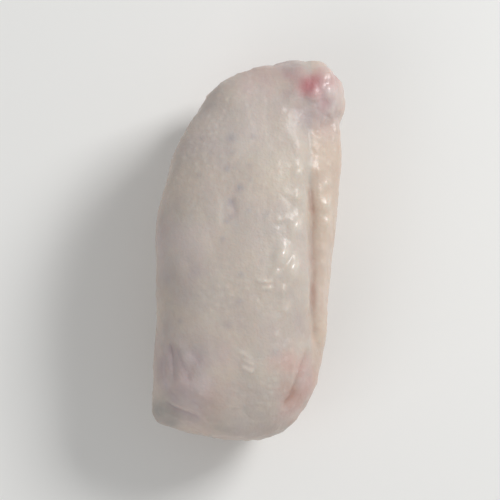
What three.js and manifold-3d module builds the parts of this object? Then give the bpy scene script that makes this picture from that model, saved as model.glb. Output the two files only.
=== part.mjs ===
// A raw whole chicken wing, folded shut as wings are sold and made as one solid, in millimetres.
// +Y points from the elbow to the wrist, +X to the trailing edge of the forearm and +Z up. The wing lies on
// z = 0: the forearm is on top with its outer skin up, the upper arm is under it and the hand is folded back
// along the trailing edge.
import * as THREE from "three";
import { mergeVertices } from "three/addons/utils/BufferGeometryUtils.js";
import Module from "manifold-3d";

// Driving dimensions of the folded wing. A muscle belly of the forearm is this share of its width.
const WING_LENGTH = 73;
const FOREARM_WIDTH = 30;
const FOREARM_THICKNESS = 14.6;
const BELLY_SHARE = 0.8;
const UPPER_ARM_WIDTH = 26;
const UPPER_ARM_THICKNESS = 22.4;
const HAND_WIDTH = 13;
const HAND_THICKNESS = 7.8;
const QUILLS = 9;

// The upper arm's underside is pressed flat by this much, and the forearm sinks this deep into its top.
const PRESSED_FLAT = 1;
const SUNK_IN = 2.4;

// The forearm's middle line rises from the elbow, where the upper arm is thin, to the wrist.
const FOREARM_RISE = 0.08;
const FOREARM_HEIGHT = UPPER_ARM_THICKNESS - PRESSED_FLAT - SUNK_IN + FOREARM_THICKNESS / 2 - 2;
const forearmHeight = (y) => FOREARM_HEIGHT + y * FOREARM_RISE;

// The plane where the upper arm was cut from the breast, a little short of the wrist.
const SHOULDER_CUT = WING_LENGTH / 2 - 4;

// A point of the wing.
const at = (x, y, z) => new THREE.Vector3(x, y, z);

// A place on a muscle's middle line, with the muscle's radius there.
const round = (x, y, z, radius) => ({ middle: at(x, y, z), radius });

// A muscle or bone: a soft round bar along a smooth line through its stations, thin along one direction.
// It gives a function from a point to its signed distance from the surface, negative inside.
function muscle(stations, flatness = 1, thinWay = at(0, 0, 1)) {
  const LINKS = 4;
  const count = (stations.length - 1) * LINKS;
  const middles = new THREE.CatmullRomCurve3(stations.map((station) => station.middle)).getPoints(count);
  const radii = new THREE.SplineCurve(stations.map((station, i) => new THREE.Vector2(i, station.radius)))
    .getPoints(count)
    .map((spot) => spot.y);
  const links = middles.slice(1).map((end, i) => {
    const bone = end.clone().sub(middles[i]);
    const lengthSquared = bone.lengthSq();
    const thin = thinWay.clone().addScaledVector(bone, -thinWay.dot(bone) / lengthSquared).normalize();
    const growth = radii[i + 1] - radii[i];
    return { start: middles[i], bone, lengthSquared, thin, radius: radii[i], growth };
  });
  const reach = at(0, 0, 0);
  return (point) => {
    let nearest = Infinity;
    for (const link of links) {
      reach.copy(point).sub(link.start);
      const along = THREE.MathUtils.clamp(reach.dot(link.bone) / link.lengthSquared, 0, 1);
      reach.addScaledVector(link.bone, -along);
      const depth = reach.dot(link.thin);
      const widthSquared = Math.max(reach.lengthSq() - depth * depth, 0);
      const stretched = Math.sqrt(widthSquared + (depth / flatness) ** 2) + 1e-6;
      const slope = Math.sqrt(widthSquared + depth ** 2 / flatness ** 4) + 1e-6;
      nearest = Math.min(nearest, ((stretched - link.radius - link.growth * along) * stretched) / slope);
    }
    return nearest;
  };
}

// Two distances melted into one over a length of softness.
function melt(nearest, distance, softness) {
  const meeting = Math.max(softness - Math.abs(nearest - distance), 0) / softness;
  return Math.min(nearest, distance) - (meeting * meeting * softness) / 4;
}

// Flesh under one skin: the muscles melt into each other.
function flesh(muscles, softness) {
  return (point) =>
    muscles
      .map((distanceTo) => distanceTo(point))
      .reduce((nearest, distance) => melt(nearest, distance, softness));
}

// Skin drawn tight over flesh: a sphere is stretched out along the bone, and each of its points sinks in
// until it meets the flesh.
function skinOver(distanceTo, elbowEnd, farEnd, around, along) {
  const START = 60;
  const CLOSE = 0.002;
  const CAREFUL = 0.8;
  const skin = new THREE.SphereGeometry(1, around, along);
  const spots = skin.getAttribute("position");
  const ray = new THREE.Vector3();
  for (let i = 0; i < spots.count; i++) {
    ray.fromBufferAttribute(spots, i);
    const root = elbowEnd.clone().lerp(farEnd, (ray.y + 1) / 2);
    let far = START;
    let gap = distanceTo(root.clone().addScaledVector(ray, far));
    while (gap > CLOSE && far > 0) {
      far -= gap * CAREFUL;
      gap = distanceTo(root.clone().addScaledVector(ray, far));
    }
    root.addScaledVector(ray, Math.max(far, 0));
    spots.setXYZ(i, root.x, root.y, root.z);
  }
  return skin;
}

const wasm = await Module();
wasm.setup();

// A closed three.js geometry as a solid that can be cut and joined.
function solid(geometry) {
  const bare = geometry.clone();
  bare.deleteAttribute("normal");
  bare.deleteAttribute("uv");
  const merged = mergeVertices(bare, 1e-4);
  return new wasm.Manifold(
    new wasm.Mesh({
      numProp: 3,
      vertProperties: new Float32Array(merged.getAttribute("position").array),
      triVerts: new Uint32Array(merged.index.array),
    }),
  );
}

// The solid back as a three.js geometry.
function geometryOf(made) {
  const mesh = made.getMesh();
  const geometry = new THREE.BufferGeometry();
  geometry.setAttribute("position", new THREE.BufferAttribute(new Float32Array(mesh.vertProperties), 3));
  geometry.setIndex(new THREE.BufferAttribute(new Uint32Array(mesh.triVerts), 1));
  geometry.computeVertexNormals();
  return geometry;
}

// A large block with one face on the plane through a point, on the side that the direction points to.
function blockBeyond(point, direction) {
  const SIDE = 200;
  const block = new THREE.BoxGeometry(SIDE, SIDE, SIDE);
  block.translate(0, 0, SIDE / 2);
  const turn = new THREE.Quaternion().setFromUnitVectors(at(0, 0, 1), direction.clone().normalize());
  block.applyQuaternion(turn);
  block.translate(point.x, point.y, point.z);
  return solid(block);
}

// The forearm, the flat middle joint: muscle bellies side by side, thick by the elbow and thin by the wrist,
// where the ends of the bones are knuckles.
function forearm() {
  const half = FOREARM_WIDTH / 2;
  const flatness = FOREARM_THICKNESS / (FOREARM_WIDTH * BELLY_SHARE);
  const up = forearmHeight;
  const belly = muscle(
    [
      round(3.2, 26, up(26) - 2.8, half * 0.56),
      round(0.2, 12, up(12) - 0.6, half * 0.73),
      round(-2.6, -6, up(-6), half * 0.87),
      round(-4.4, -20, up(-20) - 1.8, half * 0.88),
    ],
    flatness,
  );
  const leadingEdge = muscle(
    [
      round(-2.8, 25.6, up(26) - 3.6, half * 0.48),
      round(-6.6, 15, up(15) - 2.4, half * 0.6),
      round(-8.8, 4, up(4) - 2, half * 0.6),
      round(-8.7, -10, up(-10) - 2, half * 0.59),
      round(-7.4, -21.6, up(-22) - 4, half * 0.6),
    ],
    flatness * 1.2,
  );
  const trailingRidge = muscle(
    [
      round(4.4, 22, up(22) - 1.6, half * 0.43),
      round(3.8, 0, up(0), half * 0.46),
      round(3, -19, up(-19) - 1.6, half * 0.53),
    ],
    flatness * 1.3,
  );
  const wrist = muscle([round(0.8, 27.2, up(27) - 4.2, 7), round(8, 30, up(30) - 3.8, 7)], 0.82);
  const knuckle = muscle([
    round(12.6, 31.4, up(31) - 2.4, 4.8),
    round(14.6, 28.4, up(28) - 5, 4.2),
    round(13.2, 24.4, up(24) - 8, 3.4),
  ]);
  const elbow = muscle([round(-6.2, -22.2, up(-22) - 6, 10.8), round(0.2, -23.2, up(-23) - 5, 11.2)], 0.88);
  const boneEnd = muscle([round(-5.8, -30.4, up(-30) - 3.5, 4.2), round(-1.2, -31.4, up(-31) - 3.4, 4)], 0.9);
  return flesh([flesh([belly, leadingEdge, trailingRidge, wrist, knuckle, elbow], 4), boneEnd], 2.4);
}

// The row of low bumps along the trailing side, where the large quills of the wing were.
function quillBumps() {
  const first = at(8.2, 18.5, forearmHeight(18.5) + 2);
  const last = at(7, -18, forearmHeight(-18) + 1.8);
  return Array.from({ length: QUILLS }, (_, i) => {
    const spot = first.clone().lerp(last, i / (QUILLS - 1));
    return muscle([round(spot.x, spot.y + 0.8, spot.z, 2.3), round(spot.x + 0.5, spot.y - 0.8, spot.z, 2.1)]);
  });
}

// Rolls of loose skin at the elbow: one on the trailing side under the crease there, and a flap that stands
// out on the leading side.
function elbowFolds() {
  const trailing = muscle([
    round(9.4, -20, 18, 3.6),
    round(8, -25.6, 16.6, 4.2),
    round(2.4, -30.2, 14.4, 4.2),
  ]);
  const flap = muscle([
    round(-13, -22.6, 17.6, 2.6),
    round(-14.9, -26.8, 16, 3.6),
    round(-11.2, -29.6, 13.8, 3.4),
  ]);
  return flesh([trailing, flap], 1);
}

// The upper arm, the drumette: thick at the shoulder, tapering to the elbow and pressed flat where it lies. A
// web of skin in front of the elbow closes the side up to the forearm, and is rolled up by the shoulder.
function upperArm() {
  const half = UPPER_ARM_WIDTH / 2;
  const flatness = UPPER_ARM_THICKNESS / UPPER_ARM_WIDTH;
  const lying = (x, y, share) => round(x, y, half * share * flatness - PRESSED_FLAT, half * share);
  const belly = muscle(
    [
      lying(1, 27, 0.91),
      lying(0.2, 14, 1.05),
      lying(-1, 0, 0.95),
      lying(-2.4, -13, 0.8),
      lying(-3, -22.4, 0.74),
    ],
    flatness,
  );
  const web = muscle(
    [round(-7.6, 24, 17.4, 4.2), round(-9, 8, 16.6, 5), round(-9.6, -8, 14.6, 6.2), round(-8.8, -20, 12, 8)],
    0.42,
    at(1, 0, 0.3),
  );
  const webRoll = muscle([round(-8, 20, 17, 2.8), round(-6.8, 26.6, 14.6, 2.9), round(-6.2, 30.2, 9, 2.8)]);
  return flesh([flesh([belly, web], 4), webRoll], 1.5);
}

// The forearm and the upper arm in their one skin: they melt together at the elbow, and further on a crease
// that grows deeper parts them.
function foldedArm() {
  const AT_ELBOW = 11;
  const AT_SHOULDER = 1.6;
  const AROUND_FOLDS = 2.4;
  const AROUND_QUILLS = 1.1;
  const [lower, upper, folds, quills] = [forearm(), upperArm(), elbowFolds(), flesh(quillBumps(), 1)];
  const field = (point) => {
    const apart = THREE.MathUtils.smoothstep(point.y, -28, -2);
    const softness = THREE.MathUtils.lerp(AT_ELBOW, AT_SHOULDER, apart);
    const arm = melt(lower(point), upper(point), softness);
    return melt(melt(arm, folds(point), AROUND_FOLDS), quills(point), AROUND_QUILLS);
  };
  return skinOver(field, at(-2.5, -20, 15), at(4.6, 25, 19), 76, 60);
}

// The hand, the wing tip: a thin blade that stands on edge against the forearm's trailing side, with the
// thumb as a pointed nub on its outer face under the wrist.
function hand() {
  const half = HAND_WIDTH / 2;
  const flatness = HAND_THICKNESS / HAND_WIDTH;
  const sideways = at(1, 0, 0.2);
  const up = (y) => forearmHeight(y) - 3.7;
  const palm = muscle(
    [
      round(12, 28, up(28) - 0.8, half * 0.74),
      round(12.8, 21, up(21) - 0.8, half * 0.94),
      round(13, 11, up(11) - 0.6, half),
      round(12.6, 1, up(1) - 0.4, half * 0.88),
      round(12.3, -10, up(-10), half * 0.62),
      round(12, -21, up(-21) - 0.6, half * 0.28),
    ],
    flatness,
    sideways,
  );
  const thumb = muscle([
    round(14.8, 24, up(24) - 0.4, 2.8),
    round(15.6, 17, up(17) + 0.8, 2.3),
    round(15.8, 8.5, up(8.5) + 1.4, 0.9),
  ]);
  const field = flesh([palm, thumb], 0.8);
  return skinOver(field, at(12, -19, up(-19) - 0.5), at(12.8, 24, up(24)), 32, 42);
}

// The cut face at the shoulder: uneven bundles of flesh that swell a little out of the skin round the gristly
// head of the bone, which stands out of them.
function shoulderCut() {
  const BUNDLES = 7;
  const GOLDEN_TURN = Math.PI * (3 - Math.sqrt(5));
  const middle = at(1.9, SHOULDER_CUT, UPPER_ARM_THICKNESS / 2 - PRESSED_FLAT);
  const bundles = Array.from({ length: BUNDLES }, (_, i) => {
    const outward = Math.sqrt((i + 0.5) / BUNDLES);
    const across = Math.cos(i * GOLDEN_TURN) * outward * UPPER_ARM_WIDTH * 0.3;
    const upward = Math.sin(i * GOLDEN_TURN) * outward * UPPER_ARM_THICKNESS * 0.26;
    const bundle = new THREE.SphereGeometry(1, 16, 10);
    bundle.scale(5.4 - 0.3 * (i % 3), 2.6 - 0.22 * i, 4.6 + 0.3 * (i % 2));
    return bundle.translate(middle.x + across, middle.y, middle.z + upward);
  });
  const head = new THREE.SphereGeometry(1, 20, 14);
  head.scale(5.4, 4.4, 4.4);
  head.translate(middle.x - 1.6, middle.y, middle.z + 1.4);
  return [...bundles, head].map(solid).reduce((whole, piece) => whole.add(piece));
}

// All that lies beyond the cut at the shoulder and isn't the forearm. A thin layer stays under the wrist.
function cutAway() {
  const SKIN_LEFT = 0.8;
  const lower = forearm();
  const kept = skinOver((point) => lower(point) - SKIN_LEFT, at(0, 0, 24), at(4.5, 22, 25), 48, 40);
  return blockBeyond(at(0, SHOULDER_CUT, UPPER_ARM_THICKNESS / 2), at(-0.12, 1, -0.18)).subtract(solid(kept));
}

function wing() {
  const below = blockBeyond(at(0, 0, 0), at(0, 0, -1));
  const folded = solid(foldedArm()).subtract(cutAway()).add(shoulderCut()).add(solid(hand()));
  const skin = new THREE.MeshStandardMaterial({ color: 0xcdbfb2, roughness: 0.38, metalness: 0 });
  const mesh = new THREE.Mesh(geometryOf(folded.subtract(below)), skin);
  mesh.name = "wing";
  const middle = new THREE.Box3().setFromObject(mesh).getCenter(at(0, 0, 0));
  mesh.position.set(-middle.x, -middle.y, 0);
  return mesh;
}

const rawWing = new THREE.Group();
rawWing.add(wing());

export default rawWing;
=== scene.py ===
"""A raw whole chicken wing, folded shut, seen nearly from above on a plain pale floor.

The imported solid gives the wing's true form. Its skin is remeshed finely here, and the relief of real
poultry skin is pushed into it in millimetres: muscles, folds, wrinkles, quill bumps, pores and cut flesh.
Left and right are as the camera sees them: +X is right, +Y runs from the elbow up to the wrist.
"""

from collections import namedtuple
import itertools
import math
import random

import bmesh
import bpy
import numpy as np
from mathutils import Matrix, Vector, kdtree, noise


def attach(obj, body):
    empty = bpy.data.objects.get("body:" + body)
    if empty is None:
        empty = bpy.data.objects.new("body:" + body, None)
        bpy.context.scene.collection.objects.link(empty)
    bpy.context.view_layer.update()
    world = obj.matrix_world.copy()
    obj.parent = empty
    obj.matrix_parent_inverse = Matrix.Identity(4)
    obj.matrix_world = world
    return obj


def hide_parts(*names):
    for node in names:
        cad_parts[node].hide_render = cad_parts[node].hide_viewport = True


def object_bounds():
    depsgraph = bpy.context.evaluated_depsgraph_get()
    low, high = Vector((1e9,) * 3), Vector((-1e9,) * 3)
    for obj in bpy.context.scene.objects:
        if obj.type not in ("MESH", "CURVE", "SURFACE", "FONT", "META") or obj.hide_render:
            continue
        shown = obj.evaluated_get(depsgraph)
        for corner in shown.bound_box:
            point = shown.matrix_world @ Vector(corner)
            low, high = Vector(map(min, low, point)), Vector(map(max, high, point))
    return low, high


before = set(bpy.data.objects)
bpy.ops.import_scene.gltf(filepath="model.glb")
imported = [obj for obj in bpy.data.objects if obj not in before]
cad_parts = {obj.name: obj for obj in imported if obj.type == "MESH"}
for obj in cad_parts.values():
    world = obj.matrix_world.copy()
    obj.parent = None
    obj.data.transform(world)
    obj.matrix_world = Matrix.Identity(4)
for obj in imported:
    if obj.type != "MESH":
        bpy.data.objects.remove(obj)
cad_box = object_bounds()

# Sizes and places in millimetres.
MM = 0.001
SKIN_STEP = 0.34
# Higher than the whole wing, for places that are laid on it from above.
ABOVE = 34.0

# The plane where the upper arm was cut from the breast, the cut face and the bone's head in its middle.
CUT_MIDDLE = np.array([1.2, 31.9, 9.3])
CUT_FACING = np.array([-0.12, 1.0, -0.18])
CUT_FACING /= np.linalg.norm(CUT_FACING)
CUT_HALF = (10.4, 9.0)
BONE_HEAD = np.array([0.4, 31.9, 11.6])
BONE_HEAD_RADII = np.array([5.4, 4.4, 4.4])
WRIST_UNDERSIDE = 15.8

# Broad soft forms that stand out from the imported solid: the place, the reach along each axis, the height.
ELBOW_END = np.array([-3.3, -37.3, 12])
ELBOW_FLAP = (np.array([-16.4, -31.2, 16.5]), np.array([3.4, 3.0, 4.2]), 1.6)
HAND_END = (np.array([13.4, -17.4, 19.5]), np.array([2.2, 6.0, 3.2]), 1.25)
GROOVE_START = (np.array([11.9, 14.3, 26.2]), np.array([2.0, 1.9, 2.4]), 0.7)
GROOVE_END = (np.array([11.7, -17.0, 20.5]), np.array([1.4, 4.0, 3.0]), 0.75)
# The form of the hand's end starts softly between these two values of x, to keep the groove beside it.
HAND_FROM = (11.9, 12.9)

# Creases: the route over the skin, the width of one side, the depth, the height of the lips beside it as a
# share of the depth, and how much the bottom is darkened, partly a real stain and partly painted shade:
# brown above 0, mauve below. With a negative depth it is a ridge.
Crease = namedtuple("Crease", "route width depth lip stain")
GROOVE = [
    (11.4, 14.7, 26.5),
    (11.3, 10.2, 26.2),
    (11.8, 4.7, 25.5),
    (11.3, -0.3, 24.7),
    (11.7, -6.3, 23.6),
    (11.2, -12.3, 22.6),
    (11.2, -20.3, 22),
]
LEFT_FOLD = [
    (-10.3, 28.7, 19.5),
    (-10.3, 13.7, 18.4),
    (-10.3, -0.3, 17.6),
    (-10.3, -12.3, 16.6),
    (-10.3, -17.3, 12),
    (-9.3, -19.3, 6),
]
ELBOW_CREASE = [
    (10.8, -19.5, 24.3),
    (10, -23.2, 24.8),
    (9, -26.6, 24.5),
    (7.8, -29.3, 23.8),
    (6, -31.2, 23.5),
]
FLAP_CREASE = [(-16, -28.9, 22.1), (-14, -31, 21.8), (-11.4, -32.2, 22.2), (-9.2, -33.2, 22.4)]
CREASES = [
    Crease(GROOVE, 0.8, 0.75, 0.2, 1),
    Crease(ELBOW_CREASE, 0.9, 0.8, 0.25, 1),
    Crease([(8.1, -19.9, 28), (6.5, -22.7, 27), (4.1, -24.9, 27)], 1.1, 0.14, 0.4, 0.15),
    Crease(LEFT_FOLD, 1.7, 1.5, 0.1, 0.4),
    Crease(FLAP_CREASE, 0.8, 0.75, 0.3, -1),
    # Soft folds over the lower left.
    Crease([(-14.9, -18.2, 26.4), (-14.6, -22.4, 26.3), (-14, -26.6, 25.6)], 0.9, 0.5, 0.5, -1),
    Crease([(-13.6, -19.4, 27), (-12.6, -23.2, 27), (-10.8, -26.8, 26.8)], 1.0, 0.26, 0.35, -0.6),
    Crease([(-16.7, -20, 24.6), (-16, -25.8, 24), (-12.2, -30.4, 23.5)], 1.2, 0.38, 0.4, -0.6),
    Crease([(-11.6, -17.6, 28.2), (-10.9, -20.9, 28), (-8.9, -23.6, 28)], 1.2, 0.2, 0.4, -0.4),
    Crease([(-14.2, -27, 25), (-11.9, -28.9, 24.8), (-8.4, -31.6, 24)], 1.0, 0.22, 0.4, -0.4),
    # The notch between the wrist and the hand, and the fold beside it.
    Crease([(16.9, 23.9, 24.5), (14.5, 23.3, 26.6), (12.1, 21.3, 26.8)], 0.8, 0.6, 0.4, 0.5),
    Crease([(6.5, 25.9, 33), (10.3, 25.1, 33), (13.3, 25.7, 32)], 0.7, 0.2, 0.5, 0),
    # The valleys between the ends of the bones, over the far end of the wrist.
    Crease([(5, 34.6, 26.6), (4.9, 35.6, 24.2), (4.1, 35.4, 21.6)], 1.5, 0.5, 0.3, 0),
    Crease([(11.5, 35.4, 25.6), (11.9, 35.6, 23.2), (13.2, 35, 20.6)], 1.2, 0.5, 0.3, 0.1),
    # A small crease on the forearm's back and the soft ridge beside it.
    Crease([(-3.9, 8.6, 34), (-3.1, 6.6, 34), (-2.8, 4.4, 34)], 0.5, 0.24, 0.4, -0.8),
    Crease([(-5.3, 8.4, 34), (-5.6, 5.4, 34), (-6.0, 1.8, 34)], 0.8, -0.16, 0, 0),
    # Short ridges of gathered skin on the trailing side and by the elbow.
    Crease([(5.4, 4.2, 34), (7.2, 4.5, 33), (9.0, 4.3, 31)], 0.36, -0.2, 0, 0),
    Crease([(1.3, -8.1, 34), (3.4, -8.4, 34), (5.5, -8.0, 34)], 0.36, -0.42, 0, 0),
    Crease([(2.3, -9.6, 34), (4.1, -9.8, 34), (5.3, -9.6, 34)], 0.36, -0.42, 0, 0),
    Crease([(-1.9, -21.7, 34), (-0.6, -22.4, 34), (0.7, -23.1, 34)], 0.34, -0.4, 0, 0),
    Crease([(-1.4, -23.2, 34), (-0.2, -23.8, 34), (1.0, -24.5, 34)], 0.32, -0.36, 0, 0),
    Crease([(-1.8, -24.7, 34), (-0.2, -25.4, 34), (1.4, -26.2, 34)], 0.42, -0.45, 0, 0),
]

# Places seen from above where the skin gets a colour: x, y, reach and strength.
# Most are the skin's own colour; some also paint light or shade, as said above each list.
ROSY_PLACES = [
    (3.2, 33.7, 4.6, 0.7),
    (9.6, -23.6, 2.4, 1),
    (7.2, -22.6, 2.0, 0.8),
    (8.3, -30.0, 2.6, 1),
    (10.9, -26.6, 2.2, 0.8),
    (-8.0, -29.6, 4.6, 0.5),
    (-12.0, -26.6, 1.8, 0.45),
]
# Mauve places: the skin's own cool tint, and painted shade along the left edge.
MAUVE_PLACES = [
    (-13.6, -24.3, 5.6, 0.75),
    (13.3, 25.1, 3.6, 1),
    (-17.3, 1.7, 3.6, 0.6),
    (7.7, 34.7, 3.0, 0.8),
]
# Cream places: mostly yellowish fat under the skin; those on the upper forearm and at the elbow's end are
# painted light.
CREAM_PLACES = [
    (5.3, 14.2, 6.5, 0.7),
    (7.1, -4.3, 6.0, 0.8),
    (13.9, 5.7, 4.0, 1),
    (-2.0, -33.5, 5.0, 0.4),
    (13.4, -16.0, 3.0, 0.6),
    (0.5, 20.5, 6.0, 0.6),
]
# Brown along the lower groove and in the elbow's crease: partly a real stain, partly painted shade.
BROWN_PLACES = [
    (8.5, -27.8, 2.0, 0.9),
    (11.2, -13.6, 1.2, 0.2),
    (11.0, -16.6, 1.3, 0.3),
    (11.2, -20.2, 1.0, 0.3),
]
# Paler places: partly whitish skin over the wrist's bones, partly painted light on the upper forearm and
# the elbow's end.
PALE_PLACES = [
    (14.3, 29.7, 4.6, 1),
    (-1.0, 22.0, 6.5, 0.5),
    (2.0, 31.0, 4.0, 0.3),
    (7.0, -3.0, 4.0, 0.3),
    (-12.2, 0.6, 5.0, 0.45),
    (-10.6, -30.2, 3.2, 0.5),
    (-1.5, -33.3, 4.0, 0.45),
    (-15.7, -26.4, 1.0, 0.5),
    (-9.0, -26.7, 1.9, 0.5),
    (-11.4, -21.8, 1.1, 0.45),
]
BRUISE_PLACES = [(11.4, 30.2, 2.9, 1), (12.8, 31.4, 1.7, 0.6), (15.3, 31.1, 1.9, 0.35)]
# Grey on the flap by the elbow: partly thin see-through skin, partly painted shade under the fold.
GREY_PLACES = [(-17.0, -30.6, 2.4, 1), (-14.6, -32.6, 1.7, 0.7)]
DRY_PLACES = [
    (7.8, 22.4, 3.8, 0.9),
    (12.2, 20.4, 3.2, 0.9),
    (7.6, 13.6, 2.4, 0.9),
    (7.6, 9.8, 1.8, 0.8),
]

# The colours that these and other masks lay over the skin, in order, and how strong each one is.
SKIN_TINTS = {
    "strip": ((206, 184, 166), 0.6),
    "side": ((214, 190, 176), 0.3),
    "rosy": ((206, 164, 156), 0.5),
    # mauve: partly the skin's cool tint, partly painted shade on the left edge and in creases.
    "mauve": ((170, 150, 158), 0.45),
    # pale: partly the skin's own paleness, partly painted light.
    "pale": ((216, 206, 208), 0.6),
    "pore": ((224, 216, 206), 0.2),
    # ridge_highlight: paler colour on the ridges and quill mounds, a painted highlight.
    "ridge_highlight": ((228, 220, 208), 0.6),
    "quill": ((146, 144, 154), 0.42),
    # crease: brown in crease bottoms and fold hollows, partly a real stain, partly painted shade.
    "crease": ((170, 128, 112), 0.6),
    # grey: partly thin see-through skin, partly painted shade on the flap.
    "grey": ((136, 137, 136), 0.68),
    "bruise": ((176, 100, 106), 0.84),
}

# Old quills under the skin of the forearm's back that show as small blue-grey smudges.
SMUDGES = [
    (-3.5, 19.9, 0.8, 1),
    (-9.0, 20.2, 0.7, 0.7),
    (-1.9, 10.1, 0.8, 1),
    (-3.6, 7.2, 0.8, 0.9),
    (-3.4, 4.4, 0.6, 0.7),
    (-9.6, 12.8, 0.7, 0.6),
    (-4.0, -15.9, 0.7, 0.6),
    (5.0, -21.2, 0.9, 0.6),
    (-13.1, -14.9, 0.7, 0.6),
]

# The small bones of the wrist: the place near the skin, the reach and the height of the lump over each.
WRIST_BONES = [
    ((15.1, 32.9, 28.6), 1.9, 0.6),
    ((12.3, 28.3, 29.6), 1.5, 0.4),
    ((15.7, 29.1, 28.5), 1.8, 0.65),
    ((13.5, 26.1, 28.0), 1.5, 0.4),
    ((9.1, 34.3, 28.5), 1.9, 0.35),
    ((8.3, 28.7, 30.5), 1.4, 0.25),
    ((17.3, 31.3, 24.6), 2.0, 0.6),
    ((13.1, 35.7, 25.4), 1.8, 0.3),
    ((7.7, 36.1, 23.0), 2.2, 0.3),
    ((12.3, 33.7, 21.0), 2.0, 0.6),
]

# The large quills along the forearm's trailing side, x, y and height, and the smaller row on the hand
# beside it, which is tallest at one place.
QUILL_PLACES = [
    (11.8, 13.6, 0.6),
    (11.4, 8.6, 0.3),
    (11.2, 2.8, 0.75),
    (6.9, -3.0, 0.95),
    (5.7, -6.4, 0.4),
    (10.3, -5.6, 0.75),
    (7.6, -10.0, 0.3),
    (8.6, -14.0, 0.25),
    (7.3, -18.9, 0.2),
]
HAND_QUILL_FIRST = np.array([14.7, 19.7, 26.0])
HAND_QUILL_LAST = np.array([13.1, -15.3, 22.0])
HAND_QUILLS = 10
HAND_QUILLS_TALLEST = 7.0
QUILL_SLANT = np.array([0.5, 0.87, 0])
QUILL_LENGTH = 1.7
COVERT_ROWS = 3
COVERTS_IN_A_ROW = 9
COVERT_RADIUS = 0.5

# Pores lie at least the gap apart, and each raises a small bump.
PORE_GAP = 1.3
PORE_RADIUS = 0.42
WIDE_PORE_GAP = 2.7
WIDE_PORE_RADIUS = 0.62

# The camera looks down at 80 degrees, as the photo does, through a long lens from 0.9 m.
CAMERA_TARGET = (0.11, -0.64, 24)
CAMERA_TILT = math.radians(80)
CAMERA_DISTANCE = 0.9
CAMERA_LENS = 340

# The noise vectors that let a crease wander have a seed of their own, which is the clock when none is set.
SEED = 11
random.seed(SEED)
noise.seed_set(SEED)


def soft_step(low, high, value):
    """0 below low, 1 above high and smooth between them."""
    share = np.clip((value - low) / (high - low), 0, 1)
    return share * share * (3 - 2 * share)


def bell(distance, radius):
    """1 at no distance, falling softly to nearly 0 at twice the radius."""
    return np.exp(-((distance / radius) ** 2))


def curve_through(points, gap):
    """Places along a smooth curve through the points, about the gap apart."""
    points = np.array(points, float)
    last = len(points) - 1
    count = max(int(np.linalg.norm(np.diff(points, axis=0), axis=1).sum() / gap), 4)
    spot = np.linspace(0, last, count)
    index = np.minimum(spot.astype(int), last - 1)
    share = (spot - index)[:, None]
    before, start = points[np.maximum(index - 1, 0)], points[index]
    end, after = points[index + 1], points[np.minimum(index + 2, last)]
    straight = 2 * start + (end - before) * share
    bend = (2 * before - 5 * start + 4 * end - after) * share**2
    turn = (3 * start - before - 3 * end + after) * share**3
    return (straight + bend + turn) / 2


def read(items, name, width=1, kind=np.int32):
    """One property of all the given parts of a mesh as an array, with width numbers for each."""
    values = np.empty(len(items) * width, kind)
    items.foreach_get(name, values)
    return values


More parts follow.
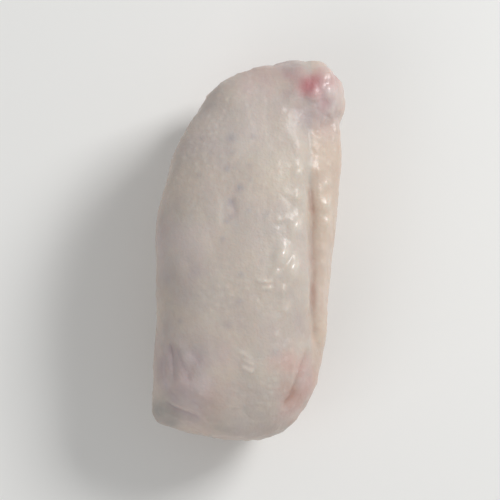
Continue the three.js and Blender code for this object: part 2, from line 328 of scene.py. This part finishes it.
class Skin:
    """The surface of the wing as arrays: places in millimetres and links between neighbours."""

    def __init__(self, mesh):
        self.mesh = mesh
        self.count = len(mesh.vertices)
        self.places = read(mesh.vertices, "co", 3, np.float32).reshape(-1, 3).astype(float) / MM
        self.links = read(mesh.edges, "vertices", 2).reshape(-1, 2)
        links_at = np.bincount(self.links.ravel(), minlength=self.count)
        self.degree = np.maximum(links_at, 1)[:, None]

    def write(self):
        """Moves the mesh's vertices to the places."""
        self.mesh.vertices.foreach_set("co", (self.places * MM).astype(np.float32).ravel())
        self.mesh.update()

    def normals(self):
        """The way out of the surface at each vertex."""
        self.write()
        return read(self.mesh.vertex_normals, "vector", 3, np.float32).reshape(-1, 3).astype(float)

    def around(self, values):
        """The mean of each vertex's neighbours."""
        first, second = self.links.T
        columns = [
            np.bincount(first, column[second], self.count) + np.bincount(second, column[first], self.count)
            for column in values.T
        ]
        return np.stack(columns, 1) / self.degree

    def smooth(self, rounds, share=0.5):
        """Evens the surface out. share is a number or one value for each vertex."""
        for _ in range(rounds):
            self.places += (self.around(self.places) - self.places) * share

    def spread(self, mask, rounds):
        """Softens a mask over the surface."""
        for _ in range(rounds):
            mask = (mask + self.around(mask[:, None])[:, 0]) / 2
        return mask

    def push(self, height):
        """Moves each vertex out along its normal by height."""
        self.places += self.normals() * height[:, None]

    def grain(self, size, stretch=(1, 1, 1), seed=0):
        """Smooth noise from about -1 to 1, with lumps of the given size."""
        spots = self.places / (np.array(stretch) * size) + seed * 17.3
        return np.array([noise.noise(spot) for spot in spots])

    def wrinkles(self, size, stretch, seed, fineness):
        """Thin wandering lines, 1 along each line: the places where smooth noise passes through nothing."""
        bent = 0.8 * self.grain(size * 1.7, (1, 1, 1), seed + 40)
        spots = (self.places + bent[:, None]) / (np.array(stretch) * size) + seed * 17.3
        return np.exp(-np.abs([noise.noise(spot) for spot in spots]) / fineness)

    def tree(self):
        """The vertices, sorted to find the nearest to a spot."""
        nearest = kdtree.KDTree(self.count)
        for index, place in enumerate(self.places):
            nearest.insert(place, index)
        nearest.balance()
        return nearest

    def laid(self, spots):
        """The nearest places of the surface to the spots."""
        nearest = self.tree()
        return np.array([nearest.find(spot)[0] for spot in spots])

    def route(self, points, wander=0.45):
        """A dense route over the surface through the points, wandering a little as a real crease does."""
        rough = curve_through(points, 0.5)
        for index, spot in enumerate(rough):
            rough[index] += wander * np.array(noise.noise_vector(spot / 3.5))
        laid = self.laid(rough)
        for _ in range(6):
            laid[1:-1] = (laid[:-2] + 2 * laid[1:-1] + laid[2:]) / 4
        return curve_through(laid, 0.1)

    def away_from(self, route, reach=7):
        """Distance of each vertex from a route, and how far along the route it is, from 0 to 1."""
        tree = kdtree.KDTree(len(route))
        for index, spot in enumerate(route):
            tree.insert(spot, index)
        tree.balance()
        distance = np.full(self.count, float(reach))
        along = np.zeros(self.count)
        close = np.all((self.places > route.min(0) - reach) & (self.places < route.max(0) + reach), 1)
        for index in np.flatnonzero(close):
            _, spot, gap = tree.find(self.places[index])
            distance[index] = gap
            along[index] = spot / (len(route) - 1)
        return distance, along

    def offsets(self, spots):
        """The way from the nearest spot to each vertex, and which spot that is."""
        tree = kdtree.KDTree(len(spots))
        for index, spot in enumerate(spots):
            tree.insert(spot, index)
        tree.balance()
        which = np.array([tree.find(place)[1] for place in self.places])
        return self.places - spots[which], which

    def patch(self, places, ragged=0.35):
        """A mask of soft patches seen from above, with uneven edges."""
        uneven = 1 + ragged * self.grain(2.6, (1, 1, 1), 7) + ragged * self.grain(6, (1, 1, 1), 8)
        bare = np.ones(self.count)
        for x, y, reach, strength in places:
            away = np.hypot(self.places[:, 0] - x, self.places[:, 1] - y)
            bare *= 1 - strength * bell(away * uneven, reach)
        return 1 - bare


def even_copy():
    """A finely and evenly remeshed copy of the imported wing."""
    shape = bmesh.new()
    shape.from_mesh(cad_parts["wing"].data)
    bmesh.ops.remove_doubles(shape, verts=shape.verts, dist=MM * 0.001)
    rough = bpy.data.meshes.new("rough_wing")
    shape.to_mesh(rough)
    shape.free()
    wing = bpy.data.objects.new("raw_wing", rough)
    bpy.context.scene.collection.objects.link(wing)
    remesh = wing.modifiers.new("even", "REMESH")
    remesh.mode = "VOXEL"
    remesh.voxel_size = SKIN_STEP * MM
    evaluated = wing.evaluated_get(bpy.context.evaluated_depsgraph_get())
    wing.data = bpy.data.meshes.new_from_object(evaluated)
    wing.modifiers.clear()
    wing.data.name = "raw_wing"
    return wing


def creased(skin):
    """Crease relief, fading at both ends, and masks of their dark bottoms (stain and painted shade) and of
    the ridges.
    """
    relief = np.zeros(skin.count)
    brown = np.zeros(skin.count)
    mauve = np.zeros(skin.count)
    ridges = np.zeros(skin.count)
    uneven = 0.8 + 0.45 * skin.grain(4, (1, 1, 1), 12)
    broken = 0.45 + 0.55 * soft_step(-0.3, 0.25, skin.grain(3, (1, 1, 1), 31))
    for crease in CREASES:
        distance, along = skin.away_from(skin.route(crease.route))
        fade = soft_step(0, 0.22, along) * soft_step(0, 0.22, 1 - along) * uneven
        valley = np.exp(-distance / crease.width) * fade
        lips = bell(distance - 2.4 * crease.width, 1.3 * crease.width) * fade
        relief += lips * crease.depth * crease.lip - valley * crease.depth
        # The line along each crease's bottom is darkened: partly a real stain, partly painted shade in the
        # crease.
        line = bell(distance, 0.8 * crease.width) * fade
        brown = np.maximum(brown, line * broken * crease.stain)
        mauve = np.maximum(mauve, line * -crease.stain)
        ridges = np.maximum(ridges, line * np.clip(-crease.depth / 0.4, 0, 1))
    return relief, brown, mauve, ridges


def soft_form(skin, place, reach, height):
    """The height of a broad soft form at each vertex."""
    return height * bell(np.linalg.norm((skin.places - place) / reach, axis=1), 1)


def wrist_lumps(skin):
    """The lumps over the small bones of the wrist, with sharp valleys where they meet."""
    laid = skin.laid([place for place, _, _ in WRIST_BONES])
    lumps = [
        height * bell(np.linalg.norm(skin.places - place, axis=1), reach)
        for place, (_, reach, height) in zip(laid, WRIST_BONES)
    ]
    return np.max(lumps, axis=0)


def wrinkled(skin):
    """Wrinkles of loose skin: across the elbow's end, along the web, round the cut and over the wrist."""
    x, y, z = skin.places.T
    elbow = bell(np.linalg.norm(skin.places - ELBOW_END, axis=1), 11)
    web = soft_step(8, 13, -x) * bell(z - 13, 7) * soft_step(-30, -18, y)
    under_hand = soft_step(7, 11, x) * bell(z - 12, 6)
    hand = soft_step(12, 12.8, x) * soft_step(15, 20, z) * soft_step(-20, -12, y)
    trailing = soft_step(3, 6, x) * (1 - soft_step(10.4, 11.4, x)) * soft_step(24, 28, z)
    trailing *= 1 - soft_step(13, 18, y)
    shoulder = soft_step(14, 28, y) * (1 - soft_step(15, 18, z))
    wrist = bell(np.linalg.norm(skin.places - (11.9, 30.3, 26.5), axis=1), 7.2)
    across = skin.wrinkles(5, (2.2, 1, 0.8), 21, 0.16)
    lengthwise = skin.wrinkles(5, (1, 2.6, 0.9), 22, 0.14)
    gathered = skin.wrinkles(3.6, (1, 1.4, 1), 23, 0.16)
    faint = skin.wrinkles(4.4, (1, 2.2, 1), 24, 0.1)
    broken = soft_step(-0.15, 0.45, skin.grain(6, (1, 1, 1), 29))
    relief = 0.65 * elbow * across + 0.6 * np.maximum(web, under_hand) * lengthwise
    relief += (0.36 * shoulder + 0.34 * wrist + 0.12 * hand + 0.2 * trailing) * gathered
    relief += 0.1 * hand * lengthwise
    relief = relief * (0.3 + 0.7 * broken) + 0.07 * faint
    loose = np.maximum(web, under_hand) * np.abs(skin.grain(6, (1, 2.6, 0.7), 25))
    return -relief - 1.2 * loose


def quills(skin):
    """The places and heights of the quills: the forearm's large ones, then the hand's smaller ones."""
    spots = [(x, y, ABOVE) for x, y, _ in QUILL_PLACES]
    heights = [height for _, _, height in QUILL_PLACES]
    for index in range(HAND_QUILLS):
        share = index / (HAND_QUILLS - 1)
        x, y, z = HAND_QUILL_FIRST + (HAND_QUILL_LAST - HAND_QUILL_FIRST) * share
        spots.append((x + random.uniform(-0.5, 0.5), y + random.uniform(-1, 1), z))
        heights.append(0.14 + 0.34 * bell(y - HAND_QUILLS_TALLEST, 6))
    return skin.laid(spots), heights


def covert_spots(skin):
    """The places of the smaller quills: three rows across the back of the forearm."""
    spots = []
    for row in range(COVERT_ROWS):
        for index in range(COVERTS_IN_A_ROW):
            share = (index + 0.5 * (row % 2)) / (COVERTS_IN_A_ROW - 0.5)
            x = 5.4 - row * 4.4 - share * 3 + random.uniform(-0.6, 0.6)
            y = 22 - share * 38 + random.uniform(-0.9, 0.9)
            spots.append((x, y, ABOVE))
    return skin.laid(spots)


def pore_spots(skin, gap):
    """Pores spread unevenly over the whole skin, never closer than the gap."""
    order = list(range(skin.count))
    random.shuffle(order)
    steps = list(itertools.product((-1, 0, 1), repeat=3))
    taken = {}
    spots = []
    for index in order:
        place = skin.places[index]
        x, y, z = np.floor(place / gap).astype(int)
        beside = [(x + right, y + on, z + up) for right, on, up in steps]
        others = [taken[cell] for cell in beside if cell in taken]
        if all(np.sum((place - other) ** 2) > gap * gap for other in others):
            taken[(x, y, z)] = place
            spots.append(place)
    return np.array(spots)


def quill_bumps(skin):
    """Slanting glossy mounds over the large quills and faint dots over the small ones."""
    relief = np.zeros(skin.count)
    for place, height in zip(*quills(skin)):
        aside = skin.places - place
        lengthwise = aside @ QUILL_SLANT
        crosswise = np.linalg.norm(aside - lengthwise[:, None] * QUILL_SLANT, axis=1)
        distance = np.hypot(lengthwise / QUILL_LENGTH, crosswise)
        relief = np.maximum(relief, height * bell(distance, 0.4 + random.uniform(0.9, 1.4) * height))
    places = covert_spots(skin)
    strengths = np.array([random.random() ** 1.5 for _ in places])
    aside, nearest = skin.offsets(places)
    dots = bell(np.linalg.norm(aside, axis=1), COVERT_RADIUS) * strengths[nearest]
    return relief + 0.1 * dots, dots


def pimples(skin):
    """Small raised pores, more marked where the skin is rough, and larger ones on the sides."""
    spots = pore_spots(skin, PORE_GAP)
    sizes = np.array([random.uniform(0.15, 1.0) for _ in spots])
    aside, which = skin.offsets(spots)
    bumps = bell(np.linalg.norm(aside, axis=1), PORE_RADIUS) * sizes[which]
    rough = soft_step(-0.2, 0.5, skin.grain(12, (1, 1, 1), 3))
    wide_spots = pore_spots(skin, WIDE_PORE_GAP)
    wide_sizes = np.array([random.uniform(0.2, 1.0) for _ in wide_spots])
    aside, which = skin.offsets(wide_spots)
    side = 1 - soft_step(0.2, 0.85, skin.normals()[:, 2])
    wide = bell(np.linalg.norm(aside, axis=1), WIDE_PORE_RADIUS) * wide_sizes[which]
    wide *= 0.15 + 0.85 * side
    elbow = bell(np.linalg.norm(skin.places - ELBOW_END, axis=1), 12)
    relief = bumps * (0.03 + 0.09 * rough) + (0.17 + 0.13 * elbow) * wide
    return relief, np.maximum(bumps * rough, wide)


def cut_masks(skin):
    """Masks of the cut at the shoulder: all of it, the flesh inside the rim of fat, and the bone's head."""
    facing = skin.normals()
    beyond = (skin.places - CUT_MIDDLE) @ CUT_FACING
    under_wrist = (skin.places[:, 2] > WRIST_UNDERSIDE - 3) & (facing[:, 2] < -0.2)
    lower = (1 - soft_step(WRIST_UNDERSIDE, WRIST_UNDERSIDE + 1, skin.places[:, 2])) * ~under_wrist
    cut = skin.spread(soft_step(-0.6, -0.1, beyond) * lower, 2)
    across = (skin.places - CUT_MIDDLE)[:, [0, 2]] / CUT_HALF
    ragged = 1 + 0.07 * skin.grain(2.4, (1, 1, 1), 15) + 0.08 * skin.grain(6, (1, 1, 1), 16)
    flesh = cut * (1 - soft_step(0.86, 0.97, np.linalg.norm(across, axis=1) * ragged))
    from_head = np.linalg.norm((skin.places - BONE_HEAD) / BONE_HEAD_RADII, axis=1)
    head = cut * (1 - soft_step(0.98, 1.12, from_head))
    return cut, flesh, head


def keep_inside_solid(skin):
    """Presses what would stand out of the solid's box softly back into it. The underside stays flat."""
    low, high = (np.array(corner) / MM for corner in cad_box)
    softness = 0.3
    over = np.logaddexp(0, (skin.places - high) / softness) * softness
    under = np.logaddexp(0, (low - skin.places) / softness) * softness
    under[:, 2] = np.maximum(-skin.places[:, 2], 0)
    skin.places += under - over
    skin.write()


def evened(skin):
    """Smooths the solid's facets away, the hollows less than the rest, and gives a mask of the folds."""
    skin.smooth(6)
    outward = skin.normals()
    hollow = skin.spread(np.sum((skin.around(skin.places) - skin.places) * outward, 1), 3)
    skin.smooth(32, np.where(hollow > 0.012, 0.2, 0.5)[:, None])
    return skin.spread(soft_step(0.01, 0.05, hollow), 4)


def shape_cut(skin, cut, head):
    """Pushes fibres into the cut flesh and lumps into the bone's head, and gives a mask of the sinews."""
    sinew = skin.wrinkles(3.4, (1, 1, 1), 26, 0.14) * cut * (1 - head)
    fibres = skin.grain(0.8, (1, 1, 1), 4) * 0.14 + skin.grain(2.2, (1, 1, 1), 5) * 0.4
    skin.push(fibres * cut * (1 - head) - 0.5 * sinew)
    skin.push((0.5 * skin.grain(4.5, (1, 1, 1), 27) + 0.12 * skin.grain(1.4, (1, 1, 1), 28)) * head)
    return sinew


def wetness(skin, mounds, ridges):
    """A mask of the wet skin: patches, most on the trailing side, and all that stands up."""
    trailing = 0.35 + 0.65 * soft_step(0, 7, skin.places[:, 0])
    wet = 0.65 * trailing * soft_step(-0.35, 0.35, skin.grain(3, (1, 1, 1), 30))
    raised = np.clip(np.maximum(mounds / 0.35, ridges), 0, 1)
    return np.maximum(wet, raised) * (1 - skin.patch(DRY_PLACES))


def shape_skin(wing):
    """Pushes the relief into the skin and gives its masks: one value a vertex for each finish."""
    skin = Skin(wing.data)
    fold = evened(skin)
    cut, flesh, head = cut_masks(skin)
    hide = 1 - cut
    skin.push(-0.6 * fold * hide)
    skin.smooth(8, (0.15 + 0.35 * fold)[:, None])
    lumps = 0.5 * skin.grain(9, (0.8, 1.8, 1), 1) + 0.24 * skin.grain(4.4, (1, 1.5, 1), 2)
    skin.push(lumps * (0.3 + 0.7 * hide))

    skin.push(soft_form(skin, *ELBOW_FLAP))
    skin.push(soft_form(skin, *HAND_END) * soft_step(*HAND_FROM, skin.places[:, 0]))
    skin.push(soft_form(skin, *GROOVE_START) + soft_form(skin, *GROOVE_END))

    relief, brown, mauve, ridges = creased(skin)
    skin.push(relief * hide)
    skin.push(wrist_lumps(skin) * hide)
    skin.push(0.35 * soft_step(0.3, 0.9, skin.grain(13, (0.5, 2.4, 1), 14)) * hide)
    skin.push(wrinkled(skin) * hide)
    mounds, dots = quill_bumps(skin)
    skin.push(mounds * hide)
    bumps, pores = pimples(skin)
    rough = 0.3 + 0.9 * soft_step(-0.3, 0.5, skin.grain(10, (1, 1.6, 1), 13))
    fine = (0.03 * skin.grain(1.1, (1, 1, 1), 6) + 0.015 * skin.grain(0.6, (1, 1, 1), 9)) * rough
    skin.push((bumps + fine) * hide)
    sinew = shape_cut(skin, cut, head)
    keep_inside_solid(skin)

    x, _, z = skin.places.T
    facing_up = skin.normals()[:, 2]
    above = soft_step(-0.2, 0.4, facing_up)
    return {
        # Brown in crease bottoms and brown places, partly stain, and painted shade in the hollows of the
        # folds.
        "crease": np.clip(brown + fold * 0.8 + 0.8 * skin.patch(BROWN_PLACES), 0, 1),
        # Cream places: mostly the skin's own yellowish fat, partly painted light.
        "cream": skin.patch(CREAM_PLACES) * above,
        "rosy": skin.patch(ROSY_PLACES),
        # Mauve places and crease lines: partly the skin's own tint, partly painted shade.
        "mauve": np.clip(skin.patch(MAUVE_PLACES) * above + mauve, 0, 1),
        # Pale places: partly the skin's own colour, partly painted light.
        "pale": skin.patch(PALE_PLACES) * above,
        # Paler colour on the ridges and quill mounds: a painted highlight where they catch the light.
        "ridge_highlight": np.maximum(ridges, 0.55 * np.clip(mounds / 0.6, 0, 1)),
        "bruise": skin.patch(BRUISE_PLACES, 0.5) * above,
        "side": 1 - soft_step(0.1, 0.75, facing_up),
        "quill": np.maximum(dots, skin.patch(SMUDGES, 0.3) * above),
        "pore": pores,
        "strip": soft_step(11.6, 12.2, x) * hide,
        "flesh": flesh,
        "cut": cut,
        "sinew": sinew,
        "gristle": head,
        # Grey on the flap: partly see-through skin, partly painted shade.
        "grey": skin.patch(GREY_PLACES) * bell(z - 18, 5),
        "wet": wetness(skin, mounds, ridges),
    }


def srgb(red, green, blue):
    """A colour as read from a picture, 0 to 255, in the linear values that shaders use."""
    shares = [part / 255 for part in (red, green, blue)]
    return tuple(s / 12.92 if s <= 0.04045 else ((s + 0.055) / 1.055) ** 2.4 for s in shares) + (1,)


def node(tree, kind, place=(0, 0), **settings):
    """A new shader node with its settings."""
    made = tree.nodes.new(kind)
    made.location = place
    for name, value in settings.items():
        setattr(made, name, value)
    return made


def blotches():
    """Node group: a soft mask of irregular patches with a given size in millimetres."""
    group = bpy.data.node_groups.new("soft_blotches", "ShaderNodeTree")
    group.interface.new_socket("Patch Size", in_out="INPUT", socket_type="NodeSocketFloat")
    group.interface.new_socket("Sharpness", in_out="INPUT", socket_type="NodeSocketFloat")
    group.interface.new_socket("Mask", in_out="OUTPUT", socket_type="NodeSocketFloat")
    given = node(group, "NodeGroupInput", (-700, 0))
    place = node(group, "ShaderNodeTexCoord", (-700, 200))
    scale = node(group, "ShaderNodeMath", (-500, 0), operation="DIVIDE")
    scale.inputs[0].default_value = 1 / MM
    patches = node(group, "ShaderNodeTexNoise", (-300, 100))
    patches.inputs["Detail"].default_value = 4
    centred = node(group, "ShaderNodeMath", (-100, 100), operation="SUBTRACT")
    centred.inputs[1].default_value = 0.5
    stretched = node(group, "ShaderNodeMath", (60, 100), operation="MULTIPLY")
    lifted = node(group, "ShaderNodeMath", (220, 100), operation="ADD", use_clamp=True)
    lifted.inputs[1].default_value = 0.5
    result = node(group, "NodeGroupOutput", (400, 100))
    group.links.new(given.outputs["Patch Size"], scale.inputs[1])
    group.links.new(scale.outputs[0], patches.inputs["Scale"])
    group.links.new(place.outputs["Object"], patches.inputs["Vector"])
    group.links.new(patches.outputs["Fac"], centred.inputs[0])
    group.links.new(centred.outputs[0], stretched.inputs[0])
    group.links.new(given.outputs["Sharpness"], stretched.inputs[1])
    group.links.new(stretched.outputs[0], lifted.inputs[0])
    group.links.new(lifted.outputs[0], result.inputs["Mask"])
    return group


def moist_relief():
    """Node group: the height of fine grain on a moist surface, with a given size in millimetres."""
    group = bpy.data.node_groups.new("moist_relief", "ShaderNodeTree")
    group.interface.new_socket("Grain Size", in_out="INPUT", socket_type="NodeSocketFloat")
    group.interface.new_socket("Height", in_out="OUTPUT", socket_type="NodeSocketFloat")
    given = node(group, "NodeGroupInput", (-700, 0))
    place = node(group, "ShaderNodeTexCoord", (-700, 200))
    scale = node(group, "ShaderNodeMath", (-500, 0), operation="DIVIDE")
    scale.inputs[0].default_value = 1 / MM
    grain = node(group, "ShaderNodeTexNoise", (-300, 150))
    grain.inputs["Detail"].default_value = 5
    grain.inputs["Distortion"].default_value = 0.4
    cells = node(group, "ShaderNodeTexVoronoi", (-300, -150), feature="SMOOTH_F1")
    both = node(group, "ShaderNodeMath", (0, 0), operation="ADD")
    result = node(group, "NodeGroupOutput", (200, 0))
    group.links.new(given.outputs["Grain Size"], scale.inputs[1])
    for texture in (grain, cells):
        group.links.new(scale.outputs[0], texture.inputs["Scale"])
        group.links.new(place.outputs["Object"], texture.inputs["Vector"])
    group.links.new(grain.outputs["Fac"], both.inputs[0])
    group.links.new(cells.outputs["Distance"], both.inputs[1])
    group.links.new(both.outputs[0], result.inputs["Height"])
    return group


class Finish:
    """A material with a Principled shader, built up layer by layer."""

    def __init__(self, name):
        self.material = bpy.data.materials.new(name)
        self.material.use_nodes = True
        self.tree = self.material.node_tree
        self.tree.nodes.clear()
        self.shader = node(self.tree, "ShaderNodeBsdfPrincipled", (600, 0))
        output = node(self.tree, "ShaderNodeOutputMaterial", (900, 0))
        self.tree.links.new(self.shader.outputs[0], output.inputs[0])
        self.down = 0

    def set(self, **values):
        """Gives sockets of the shader one value all over, by name: coat_ior for Coat IOR."""
        for name, value in values.items():
            label = name.replace("_", " ").title().replace("Ior", "IOR")
            self.shader.inputs[label].default_value = value

    def mask(self, name):
        """A mask painted on the mesh."""
        self.down -= 160
        made = node(self.tree, "ShaderNodeAttribute", (-900, self.down), attribute_name=name)
        return made.outputs["Fac"]

    def patches(self, size, sharpness):
        """A mask of irregular patches, their size in millimetres."""
        self.down -= 200
        made = node(self.tree, "ShaderNodeGroup", (-900, self.down), node_tree=BLOTCHES)
        made.inputs["Patch Size"].default_value = size
        made.inputs["Sharpness"].default_value = sharpness
        return made.outputs["Mask"]

    def share(self, value, amount):
        """A mask made weaker or stronger."""
        self.down -= 160
        made = node(self.tree, "ShaderNodeMath", (-700, self.down), operation="MULTIPLY", use_clamp=True)
        self.tree.links.new(value, made.inputs[0])
        made.inputs[1].default_value = amount
        return made.outputs[0]

    def over(self, below, above, mask):
        """One colour laid over another where the mask is."""
        self.down -= 200
        mix = node(self.tree, "ShaderNodeMix", (-300, self.down), data_type="RGBA")
        sockets = (mix.inputs["Factor"], mix.inputs[6], mix.inputs[7])
        for socket, value in zip(sockets, (mask, below, above)):
            if isinstance(value, bpy.types.NodeSocket):
                self.tree.links.new(value, socket)
            else:
                socket.default_value = value
        return mix.outputs[2]

    def tint(self, below, shade, mask, strength):
        """A shade, 0 to 255, laid over a colour where the mask is, at the given strength."""
        return self.over(below, srgb(*shade), self.share(mask, strength))

    def between(self, mask, low, high):
        """A number that goes from low to high with a mask."""
        self.down -= 200
        made = node(self.tree, "ShaderNodeMapRange", (-300, self.down))
        self.tree.links.new(mask, made.inputs["Value"])
        made.inputs["To Min"].default_value = low
        made.inputs["To Max"].default_value = high
        return made.outputs[0]

    def feed(self, socket, value):
        """Lets a mask or colour drive a socket of the shader."""
        self.tree.links.new(value, self.shader.inputs[socket])

    def relief(self, size, height):
        """Fine relief too small for the mesh, with its size and height in millimetres."""
        grain = node(self.tree, "ShaderNodeGroup", (0, -500), node_tree=RELIEF)
        grain.inputs["Grain Size"].default_value = size
        bump = node(self.tree, "ShaderNodeBump", (300, -500))
        bump.inputs["Strength"].default_value = 1
        bump.inputs["Distance"].default_value = height * MM
        self.tree.links.new(grain.outputs["Height"], bump.inputs["Height"])
        self.feed("Normal", bump.outputs["Normal"])


def skin_finish():
    """Pale moist skin, in layers of colour that each lie over the one before."""
    finish = Finish("raw_skin")
    colour = finish.over(srgb(198, 188, 178), srgb(184, 174, 170), finish.patches(11, 3.0))
    colour = finish.tint(colour, (202, 180, 173), finish.patches(7, 4.0), 0.22)
    colour = finish.tint(colour, (214, 202, 182), finish.mask("cream"), 0.5)
    colour = finish.tint(colour, (212, 200, 178), finish.patches(5, 4.0), 0.22)
    colour = finish.tint(colour, (180, 167, 160), finish.patches(1.5, 5.0), 0.18)
    for name, (shade, strength) in SKIN_TINTS.items():
        colour = finish.tint(colour, shade, finish.mask(name), strength)
    finish.feed("Base Color", colour)
    finish.feed("Roughness", finish.between(finish.patches(2.2, 4.0), 0.4, 0.6))
    finish.feed("Coat Weight", finish.between(finish.mask("wet"), 0.1, 0.95))
    finish.set(coat_roughness=0.2, coat_ior=1.4, specular_ior_level=0.45)
    finish.set(subsurface_weight=0.3, subsurface_radius=(1.0, 0.55, 0.4), subsurface_scale=1.6 * MM)
    finish.relief(0.5, 0.042)
    return finish.material


def flesh_finish():
    """Cut flesh with pale sinews and a rim of fat."""
    finish = Finish("raw_flesh")
    colour = finish.over(srgb(208, 158, 148), srgb(184, 116, 110), finish.patches(3.4, 4.0))
    colour = finish.tint(colour, (222, 190, 178), finish.patches(1.6, 6.0), 0.4)
    colour = finish.tint(colour, (226, 208, 198), finish.mask("sinew"), 0.7)
    fat = node(finish.tree, "ShaderNodeMath", (-700, 200), operation="SUBTRACT", use_clamp=True)
    fat.inputs[0].default_value = 1
    finish.tree.links.new(finish.mask("flesh"), fat.inputs[1])
    colour = finish.over(colour, srgb(222, 206, 182), fat.outputs[0])
    finish.feed("Base Color", colour)
    finish.feed("Roughness", finish.between(finish.patches(1.6, 4.0), 0.28, 0.45))
    finish.set(coat_weight=0.5, coat_roughness=0.12)
    finish.set(subsurface_weight=0.35, subsurface_radius=(1.0, 0.4, 0.3), subsurface_scale=2 * MM)
    finish.relief(0.5, 0.08)
    return finish.material


def gristle_finish():
    """The smooth wet gristle on the bone's head, with a little red."""
    finish = Finish("raw_gristle")
    colour = finish.over(srgb(216, 208, 202), srgb(206, 188, 182), finish.patches(4, 4.0))
    colour = finish.tint(colour, (190, 132, 128), finish.patches(1.8, 7.0), 0.35)
    finish.feed("Base Color", colour)
    finish.feed("Roughness", finish.between(finish.patches(2, 4.0), 0.2, 0.32))
    finish.set(coat_weight=0.7, coat_roughness=0.08)
    finish.set(subsurface_weight=0.4, subsurface_radius=(0.8, 0.7, 0.6), subsurface_scale=2 * MM)
    finish.relief(0.9, 0.03)
    return finish.material


def dress(wing, masks):
    """Paints the masks on the mesh and gives each face its finish."""
    mesh = wing.data
    for name, values in masks.items():
        attribute = mesh.attributes.new(name, "FLOAT", "POINT")
        attribute.data.foreach_set("value", values.astype(np.float32))
    for finish in (skin_finish(), flesh_finish(), gristle_finish()):
        mesh.materials.append(finish)
    corners = read(mesh.loops, "vertex_index")
    starts = read(mesh.polygons, "loop_start")
    sizes = read(mesh.polygons, "loop_total")
    cut = np.add.reduceat(masks["cut"][corners], starts) / sizes
    head = np.add.reduceat(masks["gristle"][corners], starts) / sizes
    chosen = np.where(head > 0.5, 2, np.where(cut > 0.5, 1, 0)).astype(np.int32)
    mesh.polygons.foreach_set("material_index", chosen)
    mesh.polygons.foreach_set("use_smooth", np.ones(len(mesh.polygons), bool))
    mesh.update()


def soft_light(name, place, size, power):
    """A square soft light that looks at the wing. Its place and size are in metres."""
    lamp = bpy.data.lights.new(name, "AREA")
    lamp.shape = "SQUARE"
    lamp.size = size
    lamp.energy = power
    holder = bpy.data.objects.new(name, lamp)
    holder.location = place
    holder.rotation_euler = (-Vector(place)).to_track_quat("-Z", "Y").to_euler()
    bpy.context.scene.collection.objects.link(holder)


def studio():
    """A pale floor, soft lights and the camera, nearly straight above the wing."""
    bpy.ops.mesh.primitive_plane_add(size=3, location=(0, 0, 0))
    floor = bpy.context.object
    floor.name = "floor"
    paint = Finish("pale_floor")
    paint.set(base_color=srgb(238, 238, 236), roughness=0.7)
    floor.data.materials.append(paint.material)

    world = bpy.data.worlds.new("soft_room")
    world.use_nodes = True
    background = world.node_tree.nodes["Background"]
    background.inputs["Color"].default_value = srgb(255, 255, 255)
    background.inputs["Strength"].default_value = 0.38
    bpy.context.scene.world = world
    soft_light("window_light", (0.44, 0.26, 0.46), 0.24, 3.0)
    soft_light("fill_light", (-0.34, -0.36, 0.46), 0.5, 0.85)

    view = bpy.data.cameras.new("camera")
    view.lens = CAMERA_LENS
    camera = bpy.data.objects.new("camera", view)
    backward = Vector((0, -math.cos(CAMERA_TILT), math.sin(CAMERA_TILT)))
    camera.location = Vector(CAMERA_TARGET) * MM + backward * CAMERA_DISTANCE
    camera.rotation_euler = (math.pi / 2 - CAMERA_TILT, 0, 0)
    bpy.context.scene.collection.objects.link(camera)
    bpy.context.scene.camera = camera
    bpy.context.scene.view_settings.view_transform = "Standard"


BLOTCHES = blotches()
RELIEF = moist_relief()

raw_wing = even_copy()
dress(raw_wing, shape_skin(raw_wing))
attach(raw_wing, "root")
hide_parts("wing")
studio()
